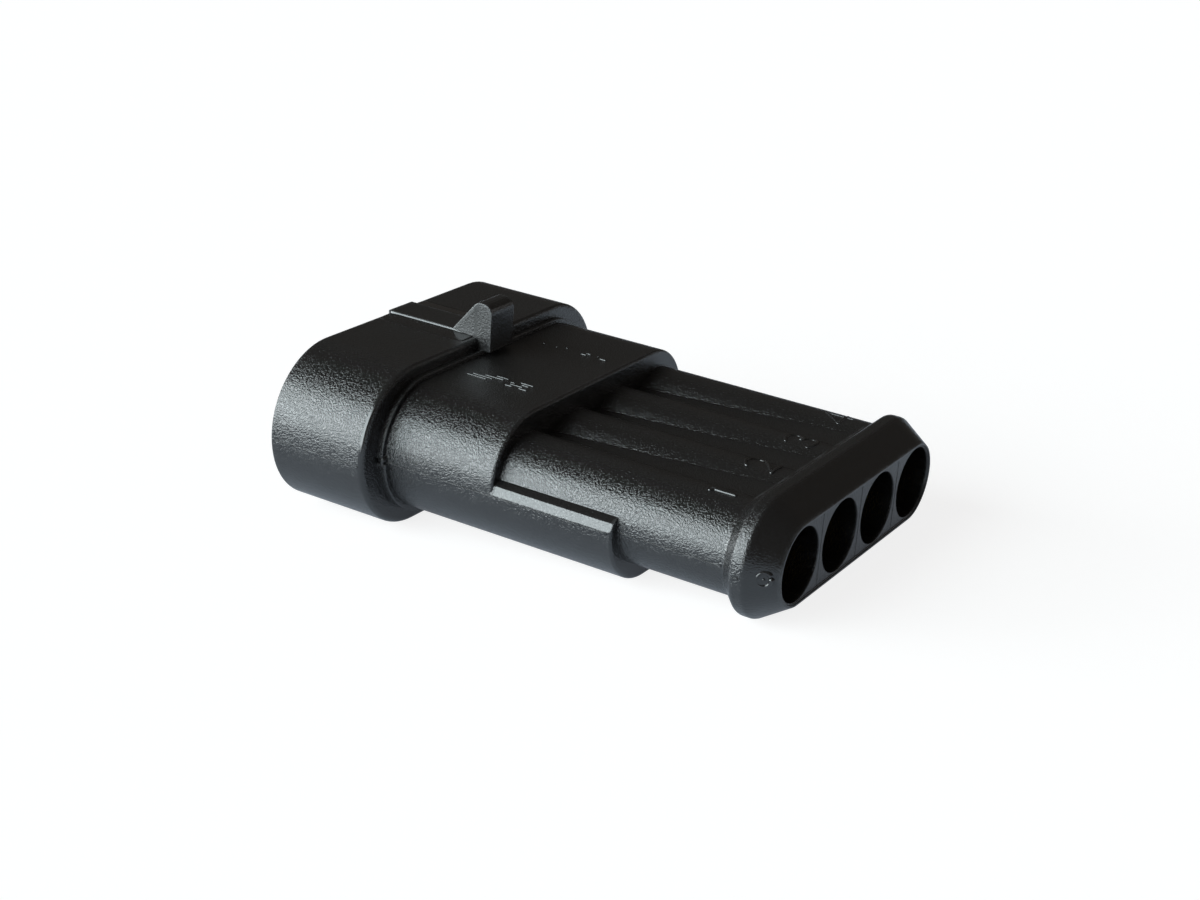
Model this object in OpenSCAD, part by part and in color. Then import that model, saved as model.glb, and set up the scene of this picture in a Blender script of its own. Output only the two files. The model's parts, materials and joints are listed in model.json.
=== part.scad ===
// Four-way sealed connector, pin half. The housing is one moulding with a hood at its
// mating end and one round wire cavity per way at its wire end. Each way holds a stamped
// pin contact and a ribbed wire seal, and a lock plate slides in behind the hood.
// Sections are drawn in the (y, z) plane and extruded along x, from the mating face at
// x = 0 to the wire end. Millimetres.

/* [Ways] */
// Distance between neighbouring ways
pitch = 6; // [5.9:0.05:7.5]

/* [Hood] */
// Length of the hood
hood_len = 8.57; // [8:0.01:12]
// Half height of the hood, and radius of its round ends
hood_r = 6.195; // [6:0.005:7.5]
// Wall of the hood around the mating cavity
hood_wall = 1.25; // [0.9:0.05:1.6]
// Wall between the hood's cavity and its shoulder
hood_back = 1.27; // [0.8:0.01:1.8]
// Rounding of the hood's rear edge
hood_edge = 0.35; // [0.05:0.05:0.6]
// Width of the keying ribs inside the hood
key_w = 1; // [0.6:0.1:1.6]
// Height of the keying ribs inside the hood
key_h = 0.55; // [0.2:0.05:0.7]

/* [Latch catch] */
// Width of the catch and of the strip that leads to it
catch_w = 2.9; // [2:0.1:4]
// Height of the catch above the hood
catch_h = 2.8; // [1.5:0.1:3.5]
// Length of the catch along its foot
catch_len = 3.55; // [3:0.05:4.5]
// How far the catch stands out behind the hood
catch_over = 1.15; // [0.8:0.05:1.5]
// Slope of the catch's ramp, in degrees
catch_slope = 50; // [40:1:60]
// Rounding of the catch's crest
catch_round = 0.8; // [0.2:0.05:0.9]
// Height of the strip on top of the hood
strip_h = 0.25; // [0.1:0.05:0.5]

/* [Collar] */
// Half height of the collar
collar_half = 4.935; // [4.8:0.005:5.6]
// How far the collar reaches sideways past the axis of the last way
collar_side = 4.15; // [4:0.05:4.9]
// Wall of the collar around the nose pocket
collar_wall = 1.1; // [0.8:0.05:1.3]
// Length of the collar's upper half behind the hood
collar_top_len = 9.87; // [8:0.01:12]
// Length of the collar's lower half behind the hood
collar_low_len = 19.765; // [15:0.005:22]
// Height of the lower half's side ledge above the parting plane
ledge_h = 0.62; // [0.3:0.01:0.8]
// How far the ledge's side leans in over that height
ledge_bevel = 0.27; // [0.1:0.01:0.5]
// Further rise of the ledge's sloping top towards the tubes
ledge_slope_h = 0.33; // [0.2:0.01:0.6]
// Rounding of the collar's end edges
collar_edge = 0.25; // [0.05:0.05:0.4]
// Height of the ring where the collar meets the hood
ring_h = 0.35; // [0.15:0.05:0.6]
// Length of the ring on the upper half
ring_top_len = 0.45; // [0.3:0.05:0.8]
// Length of the ring on the lower half
ring_low_len = 0.75; // [0.3:0.05:1.5]
// Gap in the ring at the parting plane
ring_notch = 0.4; // [0.2:0.05:1]

/* [Wire end] */
// Radius of a wire cavity at its mouth
mouth_r = 2.69; // [2.65:0.01:2.8]
// Depth of the mouth
mouth_len = 3.4; // [2.5:0.1:5]
// Radius of the seat that the wire seal grips
seat_r = 2.5; // [2.4:0.01:2.53]
// Length of the seal's seat
seat_len = 8; // [7:0.1:10]
// Wall of a tube around the seal's seat
tube_wall = 0.93; // [0.8:0.01:1.05]
// Half height of the web between the tubes at the collar
web_half = 2.45; // [2:0.05:2.9]
// Half height of the web between the tubes at the flange
web_half_end = 3.1; // [2.4:0.05:3.25]
// Rise of the flange above the tubes
flange_rise = 0.99; // [0.5:0.01:1.3]
// Length of the flange from its foot to the wire end
flange_len = 4.05; // [3.9:0.05:4.6]
// Length of the flange's level rim
flange_rim = 0.85; // [0.4:0.05:1]
// Wall around the mouths on the end face
rim_wall = 0.284; // [0.2:0.002:0.45]
// Depth of the end face inside its rim
face_step = 0.12; // [0.05:0.01:0.3]
// Width of the rim around the end face
face_rim = 0.14; // [0.08:0.02:0.2]

/* [Contact block] */
// Depth of the nose pocket behind the hood
nose_depth = 6.03; // [5:0.01:8]
// Wall that each contact's box stops against
stop_wall = 1.15; // [0.8:0.05:1.5]
// Thickness of a locking finger
finger_t = 0.65; // [0.45:0.05:0.8]
// Width of a locking finger
finger_w = 2; // [1.4:0.1:2.1]
// Length of a locking finger
finger_len = 6.6; // [6:0.1:7.2]
// How deep a finger's hook reaches into the contact's window
hook_h = 0.2; // [0.1:0.05:0.25]
// Room above a finger to bend into, which the lock plate fills
flex_gap = 0.65; // [0.4:0.05:0.7]
// Width of the core pockets between the ways
core_w = 1.8; // [1.4:0.1:2.4]
// Depth of the core pockets
core_depth = 7; // [6.5:0.1:8]

/* [Pin contact] */
// Radius of the mating pin
pin_r = 0.75; // [0.5:0.05:0.75]
// Radius of the pin's root, where it passes through the lock plate
root_r = 0.92; // [0.91:0.01:0.95]
// Length of the pin in front of the lock plate
pin_len = 8.5; // [7:0.1:10]
// Length of the pin's bullet-shaped tip
tip_len = 1.1; // [0.6:0.1:2]
// Thickness of the contact's metal
metal_t = 0.3; // [0.2:0.02:0.34]
// Width and height of the contact's box
box_w = 2.3; // [2.2:0.05:2.4]
// Length of the box
box_len = 5.8; // [5:0.1:6.5]
// Length of the open neck between the box and the wire barrel
neck_len = 1.6; // [1:0.1:2.5]
// Length of the wire barrel
barrel_len = 2.8; // [2:0.1:4]
// Length of the flare between the wire barrel and the seal grip
flare_len = 0.9; // [0.6:0.1:1.5]
// Length of the grip around the seal's neck
grip_len = 2.2; // [1.5:0.1:3]

/* [Wire seal] */
// Length of the seal behind its shoulder
seal_len = 7; // [6:0.1:7.2]
// Radius of the seal's hole for the wire
wire_r = 0.9; // [0.6:0.05:1]
// Radius of the neck that the contact grips
seal_neck_r = 1.45; // [1.3:0.05:1.5]
// Radius of the seal between its ribs
seal_core_r = 2.05; // [1.7:0.05:2.15]
// Number of sealing ribs
seal_ribs = 3; // [2:1:4]

/* [Lock plate] */
// Thickness of the lock plate
plate_t = 1.6; // [1.2:0.1:2]
// Travel of the lock plate between its two detents
lock_travel = 1.9; // [1.2:0.1:2.1]
// Length of the wedges that back the locking fingers
wedge_len = 4.4; // [4:0.1:5]
// Length of the snap arms
arm_len = 4.8; // [4.5:0.1:5.5]
// Thickness of a snap arm
arm_t = 0.55; // [0.4:0.05:0.7]
// Height of the bump at the end of a snap arm
bump_h = 0.3; // [0.15:0.05:0.35]
// Radius of the release notches in the plate's long edges
notch_r = 0.9; // [0.5:0.1:1.1]

/* [Clearances] */
// Between a contact's box and its passage
contact_gap = 0.1; // [0.06:0.01:0.15]
// Between the lock plate and what it slides in
slide_gap = 0.1; // [0.06:0.01:0.15]
// Between the pin's root and its holes
root_gap = 0.12; // [0.08:0.01:0.14]
// Between faces that seat against each other
seat_gap = 0.05; // [0.02:0.01:0.1]
// Between the seal's squeezed ribs and their seat
seal_gap = 0.03; // [0.02:0.01:0.05]

/* [Hidden] */
$fn = 64;
// Number of ways, side by side; NODES names a pin contact and a wire seal for each
ways = 4;

// How far cuts reach past a face, so that no skin is left
eps = 0.5;
// How far pieces of one bore or barrel reach into each other
lap = 0.01;
// Steps in a rounded corner of an outline
corner_steps = 5;

// Edge roundings of the outside
rim_edge = 0.12;
flange_root_edge = 0.4;
flange_back_edge = 0.5;
flange_front_edge = 0.6;
face_edge = 0.06;
ledge_edge = 0.08;

// Stations along x
half_span = (ways - 1) * pitch / 2;
x_top_end = hood_len + collar_top_len;
x_low_end = hood_len + collar_low_len;
x_block = hood_len + nose_depth;
x_stop = x_block + stop_wall;
x_box = x_stop + seat_gap;
x_neck = x_box + box_len;
x_barrel = x_neck + neck_len;
x_flare = x_barrel + barrel_len;
x_grip = x_flare + flare_len;
// Room between the end of the seal grip and the seal's shoulder
shoulder_gap = 0.2;
x_step = x_grip + grip_len + shoulder_gap;
x_mouth = x_step + seat_len;
x_end = x_mouth + mouth_len;
x_plate = x_block - seat_gap - plate_t;
x_tip = x_plate - pin_len;

// Radii and heights that follow from the sizes above
tube_r = seat_r + tube_wall;
flange_r = tube_r + flange_rise;
face_r = mouth_r + rim_wall;
nose_half = collar_half - collar_wall;
nose_side = collar_side - collar_wall;
passage = box_w / 2 + contact_gap;
slot_top = passage + finger_t + flex_gap;
grip_gap = 0.22;
chamber_r = seal_neck_r + metal_t + grip_gap;
grip_r = seal_neck_r + seal_gap;
barrel_r = box_w / 2;

// Locking finger: its tip's distance from the stop wall, and the passage behind its root
finger_side_gap = 0.25;
finger_tip_gap = 0.45;
root_len = 1.7;
finger_root = x_stop + finger_tip_gap + finger_len;
passage_end = finger_root + root_len;

// Window in the top of the contact's box, and the hook that drops into it
window_front = 1.35;
window_len = 2.1;
window_w = 1.6;
hook_w = 1.2;
hook_nose = 0.5;
hook_len = window_len - 3 * contact_gap;

// Core pockets, which stay inside the web
core_roof = 0.65;
core_top = web_half - core_roof;
core_bottom = -2.4;

// Snap arms: the bump runs in a groove as long as the travel
bump_len = 0.8;
arm_side_gap = 0.2;
arm_w = core_w - 2 * arm_side_gap;
x_bump = x_block - seat_gap + arm_len - bump_len;

// Point at radius r and angle a from c
function polar(c, r, a) = c + r * [cos(a), sin(a)];

// Corner p between neighbours a and b, rounded to radius r by an arc of short steps
function corner(a, p, b, r) =
    let (u = (a - p) / norm(a - p), v = (b - p) / norm(b - p))
    let (half = acos(max(-1, min(1, u * v))) / 2)
    let (c = p + (u + v) / norm(u + v) * r / sin(half))
    let (q0 = p + u * r / tan(half) - c, q1 = p + v * r / tan(half) - c)
    let (a0 = atan2(q0.y, q0.x), turn = atan2(q1.y, q1.x) - a0)
    let (sweep = turn > 180 ? turn - 360 : turn < -180 ? turn + 360 : turn)
    [for (i = [0:corner_steps]) polar(c, r, a0 + sweep * i / corner_steps)];

// Outline through [x, y, rounding] corners
function rounded(p) = [
    for (i = [0:len(p) - 1])
        let (a = p[(i + len(p) - 1) % len(p)], b = p[(i + 1) % len(p)], q = p[i])
        each q[2] > 0
            ? corner([a.x, a.y], [q.x, q.y], [b.x, b.y], q[2])
            : [[q.x, q.y]]
];

// y of way i, counted from 0 on the viewer's side
function way_y(i) = i * pitch - half_span;

// Turn a (y, z) section extruded along z so that it runs along x
module along_x(x = 0) {
    translate([x, 0, 0]) rotate([90, 0, 90]) children();
}

// Bar of length l along x from x, with the child as its (y, z) section
module bar(x, l) {
    along_x(x) linear_extrude(l) children();
}

// Round bar along x about the way's own axis
module rod(r, x, l) {
    along_x(x) cylinder(r = r, h = l);
}

// Box from x, centred on y, between two heights
module block(x, l, w, z0, z1) {
    translate([x, -w / 2, z0]) cube([l, w, z1 - z0]);
}

// Flat section with round ends that reaches `side` past the last way's axis
module lozenge(side, half) {
    spread = half_span + side - half;
    square([2 * spread, 2 * half], center = true);
    for (s = [-1, 1]) translate([s * spread, 0]) circle(half);
}

// Solid whose outline [radius, x] is swept around the same flat shape with round ends
module swept(side, half, outline) {
    spread = half_span + side - half;
    for (s = [-1, 1])
        translate([0, s * spread, 0]) along_x() rotate_extrude() polygon(outline);
    rotate([90, 0, 90]) rotate([90, 0, 90])
        linear_extrude(2 * spread, center = true) {
            polygon(outline);
            mirror([1, 0]) polygon(outline);
        }
}

// Everything above or below the parting plane
module half_space(up) {
    far = 4 * hood_r + half_span;
    translate([-far / 2, -far, up ? 0 : -far]) cube([2 * far, 2 * far, far]);
}

module at_ways() {
    for (i = [0:ways - 1]) translate([0, way_y(i), 0]) children();
}

module at_cores() {
    for (i = [0:ways - 2]) translate([0, way_y(i) + pitch / 2, 0]) children();
}

// ---- Housing, outside ----

module hood() {
    swept(hood_r, hood_r, rounded([
        [0, 0, 0], [hood_r, 0, rim_edge], [hood_r, hood_len, hood_edge], [0, hood_len, 0]
    ]));
}

module latch_catch() {
    base = hood_r + strip_h;
    top = hood_r + catch_h;
    rear = hood_len + catch_over;
    foot = rear - catch_len;
    crest = foot + (top - base) / tan(catch_slope);
    translate([0, catch_w / 2, 0]) rotate([90, 0, 0]) linear_extrude(catch_w)
        polygon(rounded([
            [foot, hood_r - hood_wall / 2, 0],
            [foot, base, 0],
            [crest, top, min(catch_round, (rear - crest) / 2)],
            [rear, top, catch_round],
            [rear, collar_half + ring_h, 0],
            [hood_len - hood_back / 2, collar_half + ring_h, 0]
        ]));
    block(0, foot + eps, catch_w, hood_r - hood_wall / 2, base);
}

module collar_blank(l) {
    swept(collar_side, collar_half, rounded([
        [0, hood_len - hood_back / 2, 0], [collar_half, hood_len - hood_back / 2, 0],
        [collar_half, hood_len + l, collar_edge], [0, hood_len + l, 0]
    ]));
}

// Section of the lower half: past the parting plane it leans in to a ledge beside the tubes
module lower_section() {
    side = half_span + collar_side;
    ledge_top = ledge_h + ledge_slope_h;
    tube_side = half_span + sqrt(pow(tube_r, 2) - pow(ledge_top, 2));
    far = 2 * side;
    polygon(rounded([
        [-far, -far, 0], [far, -far, 0], [far, 0, 0], [side, 0, 0],
        [side - ledge_bevel, ledge_h, ledge_edge], [tube_side, ledge_top, 0],
        [-tube_side, ledge_top, 0], [ledge_bevel - side, ledge_h, ledge_edge],
        [-side, 0, 0], [-far, 0, 0]
    ]));
}

module collar() {
    intersection() {
        collar_blank(collar_top_len);
        half_space(true);
    }
    intersection() {
        collar_blank(collar_low_len);
        bar(0, x_low_end + eps) lower_section();
    }
}

// Ring in the corner between collar and hood, broken at the parting plane
module collar_ring() {
    far = 2 * (half_span + hood_r);
    start = hood_len - hood_back / 2;
    for (up = [false, true]) {
        l = hood_back / 2 + (up ? ring_top_len : ring_low_len);
        bar(start, l) intersection() {
            lozenge(collar_side + ring_h, collar_half + ring_h);
            translate([-far, up ? ring_notch / 2 : -far]) square([2 * far, far - ring_notch / 2]);
        }
    }
}

module tubes() {
    start = hood_len;
    at_ways() rod(tube_r, start, x_end - flange_len / 2 - start);
    translate([0, half_span, 0]) rotate([90, 0, 0]) linear_extrude(2 * half_span)
        polygon([
            [start, web_half], [x_top_end, web_half], [x_end - flange_len, web_half_end],
            [x_end - flange_len / 2, web_half_end], [x_end - flange_len / 2, -web_half_end],
            [x_end - flange_len, -web_half_end], [x_top_end, -web_half], [start, -web_half]
        ]);
}

module wire_flange() {
    foot = x_end - flange_len;
    rim = foot + flange_rise;
    swept(flange_r, flange_r, rounded([
        [0, foot - flange_root_edge / 2, 0], [tube_r, foot - flange_root_edge / 2, 0],
        [tube_r, foot, flange_root_edge], [flange_r, rim, flange_back_edge],
        [flange_r, rim + flange_rim, flange_front_edge], [face_r, x_end, face_edge],
        [0, x_end, 0]
    ]));
}

// ---- Housing, inside ----

// Wide cavity of the hood, with a lead-in at its mouth
module hood_cavity() {
    r = hood_r - hood_wall;
    lead = hood_wall / 4;
    swept(hood_r - hood_wall, r, [
        [0, -eps], [r + lead, -eps], [r + lead, 0], [r, 2 * lead],
        [r, hood_len - hood_back], [0, hood_len - hood_back]
    ]);
}

// Two ribs above and one below, so that the mating half goes in one way up
module keying_ribs() {
    r = hood_r - hood_wall;
    l = hood_len - hood_back / 2 - hood_wall;
    for (y = [-half_span / 2, half_span / 2])
        translate([0, y, 0]) block(hood_wall, l, key_w, r - key_h, r + hood_wall / 2);
    block(hood_wall, l, key_w, -r - hood_wall / 2, -r + key_h);
}

// Passage of one way, from the block's face to the wire end
module way_bore() {
    rod(root_r + root_gap, x_block - eps, stop_wall + 2 * eps);
    block(x_stop, passage_end - x_stop, 2 * passage, -passage, passage);
    rod(chamber_r, passage_end - lap, x_step - passage_end + 2 * lap);
    rod(seat_r, x_step, seat_len + eps);
    rod(mouth_r, x_mouth, mouth_len + eps);
}

// Slot that leaves the locking finger free on its top, tip and sides
module finger_slot() {
    w = finger_w + 2 * finger_side_gap;
    block(x_block - eps, finger_root - x_block + eps, w, passage, slot_top);
}

module locking_finger() {
    tip = finger_root - finger_len;
    hook = x_box + window_front + contact_gap;
    z0 = passage;
    translate([0, finger_w / 2, 0]) rotate([90, 0, 0]) linear_extrude(finger_w)
        polygon([
            [tip, z0], [tip, z0 + finger_t / 2], [tip + finger_t, z0 + finger_t],
            [finger_root + eps, z0 + finger_t], [finger_root + eps, z0]
        ]);
    translate([0, hook_w / 2, 0]) rotate([90, 0, 0]) linear_extrude(hook_w)
        polygon([
            [hook, z0 + finger_t / 2], [hook, box_w / 2 - hook_h],
            [hook + hook_nose, box_w / 2 - hook_h], [hook + hook_len, z0],
            [hook + hook_len, z0 + finger_t / 2]
        ]);
}

// Pocket that keeps the walls between the ways even
module core_pocket() {
    block(x_block - eps, core_depth + eps, core_w, core_bottom, core_top);
}

// Groove under the pocket that the bump of a snap arm runs in
module bump_groove() {
    block(
        x_bump - lock_travel - slide_gap, bump_len + lock_travel + 2 * slide_gap,
        core_w, core_bottom - bump_h, core_bottom + eps
    );
}

module end_face_step() {
    bar(x_end - face_step, face_step + eps) lozenge(face_r - face_rim, face_r - face_rim);
}

module housing() {
    color("#1f2022") difference() {
        union() {
            difference() {
                union() {
                    hood();
                    collar();
                    collar_ring();
                    tubes();
                    wire_flange();
                    latch_catch();
                }
                hood_cavity();
                bar(hood_len - hood_back - eps, nose_depth + hood_back + eps)
                    lozenge(nose_side, nose_half);
                at_ways() way_bore();
                at_ways() finger_slot();
                at_cores() core_pocket();
                at_snap_arms() bump_groove();
                end_face_step();
            }
            at_ways() locking_finger();
            keying_ribs();
        }
    }
}

// ---- Lock plate ----

// The first and last pockets hold the snap arms
module at_snap_arms() {
    for (i = [0, ways - 2])
        translate([0, way_y(i) + pitch / 2, 0]) children();
}

module snap_arm() {
    under = core_bottom + slide_gap;
    x0 = x_block - seat_gap;
    block(x0 - plate_t / 2, arm_len + plate_t / 2, arm_w, under, under + arm_t);
    translate([0, arm_w / 2, 0]) rotate([90, 0, 0]) linear_extrude(arm_w)
        polygon([
            [x_bump, under + arm_t / 2], [x_bump, under - bump_h],
            [x_bump + bump_len / 2, under - bump_h], [x_bump + bump_len, under],
            [x_bump + bump_len, under + arm_t / 2]
        ]);
}

// Wedge that lies on a locking finger and keeps it from lifting
module finger_wedge() {
    z0 = passage + finger_t + slide_gap;
    z1 = slot_top - slide_gap;
    x0 = x_block - seat_gap;
    w = finger_w - 2 * slide_gap;
    translate([0, w / 2, 0]) rotate([90, 0, 0]) linear_extrude(w)
        polygon([
            [x0 - plate_t / 2, z0], [x0 + wedge_len, z0],
            [x0 + wedge_len, (z0 + z1) / 2], [x0 + wedge_len - (z1 - z0), z1],
            [x0 - plate_t / 2, z1]
        ]);
}

module secondary_lock() {
    guide = plate_t / 3;
    color("#e8dcae") {
        difference() {
            bar(x_plate, plate_t) lozenge(nose_side - slide_gap, nose_half - slide_gap);
            at_ways() {
                rod(root_r + root_gap, x_plate - eps, plate_t + 2 * eps);
                along_x(x_plate - lap)
                    cylinder(r1 = root_r + root_gap + guide, r2 = root_r + root_gap, h = guide);
            }
            for (s = [-1, 1]) translate([0, 0, s * (nose_half - slide_gap)])
                rod(notch_r, x_plate - eps, plate_t + 2 * eps);
        }
        at_ways() finger_wedge();
        at_snap_arms() snap_arm();
    }
}

// ---- Pin contact ----

// Square section of the contact's box
module box_section(w) {
    r = w / 8;
    square([w, w - 2 * r], center = true);
    square([w - 2 * r, w], center = true);
    for (y = [-1, 1], z = [-1, 1]) translate([y, z] * (w / 2 - r)) circle(r);
}

// Two wings of a crimp, rolled in until they meet
module crimp_section(r) {
    wing_r = 0.55 * r;
    wing_z = 0.2 * r;
    intersection() {
        circle(r);
        translate([-r, -r]) square([2 * r, r + wing_z]);
    }
    for (s = [-1, 1]) translate([s * (r - wing_r), wing_z]) circle(wing_r);
}

// Pin, rolled shut: a bullet tip, the mating length and a thicker root
module mating_pin() {
    step = root_r - pin_r;
    root = x_plate - 2 * step;
    inside = x_box + 3 * metal_t;
    along_x() rotate_extrude() polygon(rounded([
        [0, inside, 0], [0, x_tip, 0], [pin_r / 2, x_tip, pin_r / 4],
        [pin_r, x_tip + tip_len, tip_len], [pin_r, root, 0], [root_r, root + step, 0],
        [root_r, inside, 0]
    ]));
}

module contact_box() {
    difference() {
        bar(x_box, box_len) box_section(box_w);
        bar(x_box + 2 * metal_t, box_len) box_section(box_w - 2 * metal_t);
        block(x_box + window_front, window_len, window_w, 0, box_w);
        block(x_neck - eps, 2 * eps, metal_t / 2, -box_w, 0);
    }
}

module pin_contact(i) {
    color("#c3c1ba") translate([0, way_y(i), 0]) {
        mating_pin();
        contact_box();
        // Open neck: the floor of the box runs on into the barrels
        bar(x_neck - eps, neck_len + 2 * eps) intersection() {
            difference() {
                box_section(box_w);
                box_section(box_w - 2 * metal_t);
            }
            translate([-box_w, -box_w]) square([2 * box_w, box_w]);
        }
        bar(x_barrel, barrel_len) difference() {
            crimp_section(barrel_r);
            crimp_section(barrel_r - metal_t);
        }
        // Flare from the wire barrel out to the grip, open at the top
        intersection() {
            difference() {
                along_x(x_flare - lap)
                    cylinder(r1 = barrel_r, r2 = grip_r + metal_t, h = flare_len + 2 * lap);
                along_x(x_flare - 2 * lap)
                    cylinder(r1 = barrel_r - metal_t, r2 = grip_r, h = flare_len + 4 * lap);
            }
            block(x_flare - eps, flare_len + 2 * eps, 2 * box_w, -box_w, 0);
        }
        bar(x_grip, grip_len) difference() {
            circle(grip_r + metal_t);
            circle(grip_r);
            translate([-metal_t / 4, 0]) square([metal_t / 2, 2 * box_w]);
        }
    }
}

// ---- Wire seal ----

module wire_seal(i) {
    rib_r = seat_r - seal_gap;
    rib_round = rib_r - seal_core_r;
    rib_pitch = (seal_len - 2 * rib_round) / seal_ribs;
    color("#d9a916") translate([0, way_y(i), 0]) along_x() rotate_extrude() difference() {
        union() {
            translate([0, x_step]) square([seal_core_r, seal_len]);
            translate([0, x_grip + seat_gap])
                square([seal_neck_r, x_step - x_grip + rib_round]);
            for (k = [0:seal_ribs - 1])
                translate([seal_core_r, x_step + rib_round + rib_pitch * (k + 0.5)])
                    circle(rib_round);
        }
        translate([-eps, 0]) square([wire_r + eps, x_end]);
    }
}

// Everything is drawn from the mating face and then moved, so that the origin lies
// under the middle of the connector, at the height of the hood's underside.
module placed() {
    translate([-x_end / 2, 0, hood_r]) children();
}

placed() housing();
placed() secondary_lock();
placed() pin_contact(0);  // pin_contact_1
placed() pin_contact(1);  // pin_contact_2
placed() pin_contact(2);  // pin_contact_3
placed() pin_contact(3);  // pin_contact_4
placed() wire_seal(0);  // wire_seal_1
placed() wire_seal(1);  // wire_seal_2
placed() wire_seal(2);  // wire_seal_3
placed() wire_seal(3);  // wire_seal_4
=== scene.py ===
# %% [markdown]
# # A four-way sealed connector
#
# The connector is one black moulding of glass-filled nylon. At one end a wide hood takes
# the mating half, at the other end four round mouths take the sealed wires. The solids
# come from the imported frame, already in their places. This lesson gives them their
# finish, adds what only the mould leaves on such a part (numbers, witness lines, a gate
# mark), and sets up the light and the camera. Everything is in metres.

# %% Load the frame
import json
from math import cos, degrees, radians, sin, sqrt

import bmesh
import bpy
from mathutils import Matrix, Vector, noise


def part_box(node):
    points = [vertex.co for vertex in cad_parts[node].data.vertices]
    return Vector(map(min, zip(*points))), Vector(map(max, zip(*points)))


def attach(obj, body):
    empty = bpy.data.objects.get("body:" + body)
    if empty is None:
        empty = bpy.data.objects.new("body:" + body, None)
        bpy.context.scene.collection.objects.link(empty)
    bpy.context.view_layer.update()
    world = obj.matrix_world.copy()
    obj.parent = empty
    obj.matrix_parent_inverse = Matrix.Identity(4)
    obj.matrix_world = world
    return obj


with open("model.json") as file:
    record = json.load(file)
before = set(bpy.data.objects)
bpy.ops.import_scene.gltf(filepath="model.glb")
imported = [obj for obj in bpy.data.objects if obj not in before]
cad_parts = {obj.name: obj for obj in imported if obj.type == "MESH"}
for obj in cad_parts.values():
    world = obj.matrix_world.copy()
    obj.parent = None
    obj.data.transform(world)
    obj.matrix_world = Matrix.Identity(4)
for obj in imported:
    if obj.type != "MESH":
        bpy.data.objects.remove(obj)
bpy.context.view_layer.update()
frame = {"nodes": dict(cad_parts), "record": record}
MM = 0.001

# %% [markdown]
# ## Stations on the connector
#
# The marks lie on known faces: the tubes, the collar's flat top, the flange's bevel.
# Whatever the frame can tell is read from it, such as the ends of the housing and the
# axes of the four ways. The few radii and widths below are the housing's own sizes.

# %% Stations and radii
low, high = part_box("housing")
X_FRONT, X_END = low.x, high.x
seals = [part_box(f"wire_seal_{way}") for way in (1, 2, 3, 4)]
WAY_Y = [(a.y + b.y) / 2 for a, b in seals]
AXIS_Z = (seals[0][0].z + seals[0][1].z) / 2
HOOD_SIDE = high.y
HOOD_R = 6.195 * MM
COLLAR_SIDE = 13.15 * MM
COLLAR_TOP = 4.935 * MM
TUBE_R = 3.43 * MM
RIM_R = 4.42 * MM
print("ways at y =", [round(y / MM, 2) for y in WAY_Y], "mm, axes at z =", round(AXIS_Z / MM, 3))

# %% [markdown]
# ## The camera
#
# The camera looks from the near side and the wire end, about 22 degrees above the table,
# through a slightly long lens, so that the far end shrinks only a little. It is set up
# as on a tripod: where it aims, from which side, how far away it stands, and how much it
# is rolled.

# %% Camera
AIM = Vector((-0.926, -0.489, 5.898)) * MM
AZIMUTH, ELEVATION, ROLL = radians(30.984), radians(22.453), radians(3.954)
DISTANCE = 147.354 * MM

back = Vector((sin(AZIMUTH) * cos(ELEVATION), -cos(AZIMUTH) * cos(ELEVATION), sin(ELEVATION)))
sideways = Vector((cos(AZIMUTH), sin(AZIMUTH), 0))
upward = back.cross(sideways)
turn = Matrix((
    sideways * cos(ROLL) + upward * sin(ROLL),
    upward * cos(ROLL) - sideways * sin(ROLL),
    back,
)).transposed()
camera = bpy.data.objects.new("camera", bpy.data.cameras.new("camera"))
bpy.context.scene.collection.objects.link(camera)
camera.matrix_world = Matrix.Translation(AIM + back * DISTANCE) @ turn.to_4x4()
camera.data.lens = 59.055
camera.data.sensor_width = 36
camera.data.clip_start, camera.data.clip_end = 0.005, 20
bpy.context.scene.camera = camera
print("camera at", [round(v / MM, 1) for v in camera.location], "mm")

# %% [markdown]
# ## Small helpers for node trees
#
# Every material below is a handful of nodes. Two helpers keep them readable: one adds a
# node and sets its inputs by name or, as i0, i1 and so on, by place. The other starts a
# node group with named sockets. An effect that several materials share is made once, as
# such a group.

# %% Node helpers
def add(tree, kind, settings=(), **inputs):
    """A node of that kind; inputs are values or the sockets that feed them."""
    node = tree.nodes.new(kind)
    for name, value in dict(settings).items():
        setattr(node, name, value)
    for name, value in inputs.items():
        by_place = name[0] == "i" and name[1:].isdigit()
        socket = node.inputs[int(name[1:]) if by_place else name.replace("_", " ")]
        if isinstance(value, bpy.types.NodeSocket):
            tree.links.new(value, socket)
        else:
            socket.default_value = value
    return node


def new_group(name, inputs, outputs):
    """A shader node group with float inputs (name, default) and outputs (name, type)."""
    tree = bpy.data.node_groups.new(name, "ShaderNodeTree")
    for label, value in inputs:
        socket = tree.interface.new_socket(label, in_out="INPUT", socket_type="NodeSocketFloat")
        socket.default_value = value
    for label, kind in outputs:
        tree.interface.new_socket(label, in_out="OUTPUT", socket_type=f"NodeSocket{kind}")
    return tree, tree.nodes.new("NodeGroupInput"), tree.nodes.new("NodeGroupOutput")


def use_group(tree, group, **inputs):
    """Places a group in a material with its own values."""
    return add(tree, "ShaderNodeGroup", {"node_tree": group}, **inputs)


print("helpers: add, new_group, use_group")

# %% [markdown]
# ## Moulded grain
#
# The steel mould is spark-eroded, which leaves a skin of tiny rounded pits, about a
# seventh of a millimetre across. Glossy black shows it as a fine sparkle wherever the
# light is mirrored. Two sizes of noise make the height of the pits. A third, much
# broader one drifts slowly over the part, because no mould is etched quite evenly. The
# group puts out that height and a slow mask, and each material decides what they do.

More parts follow.
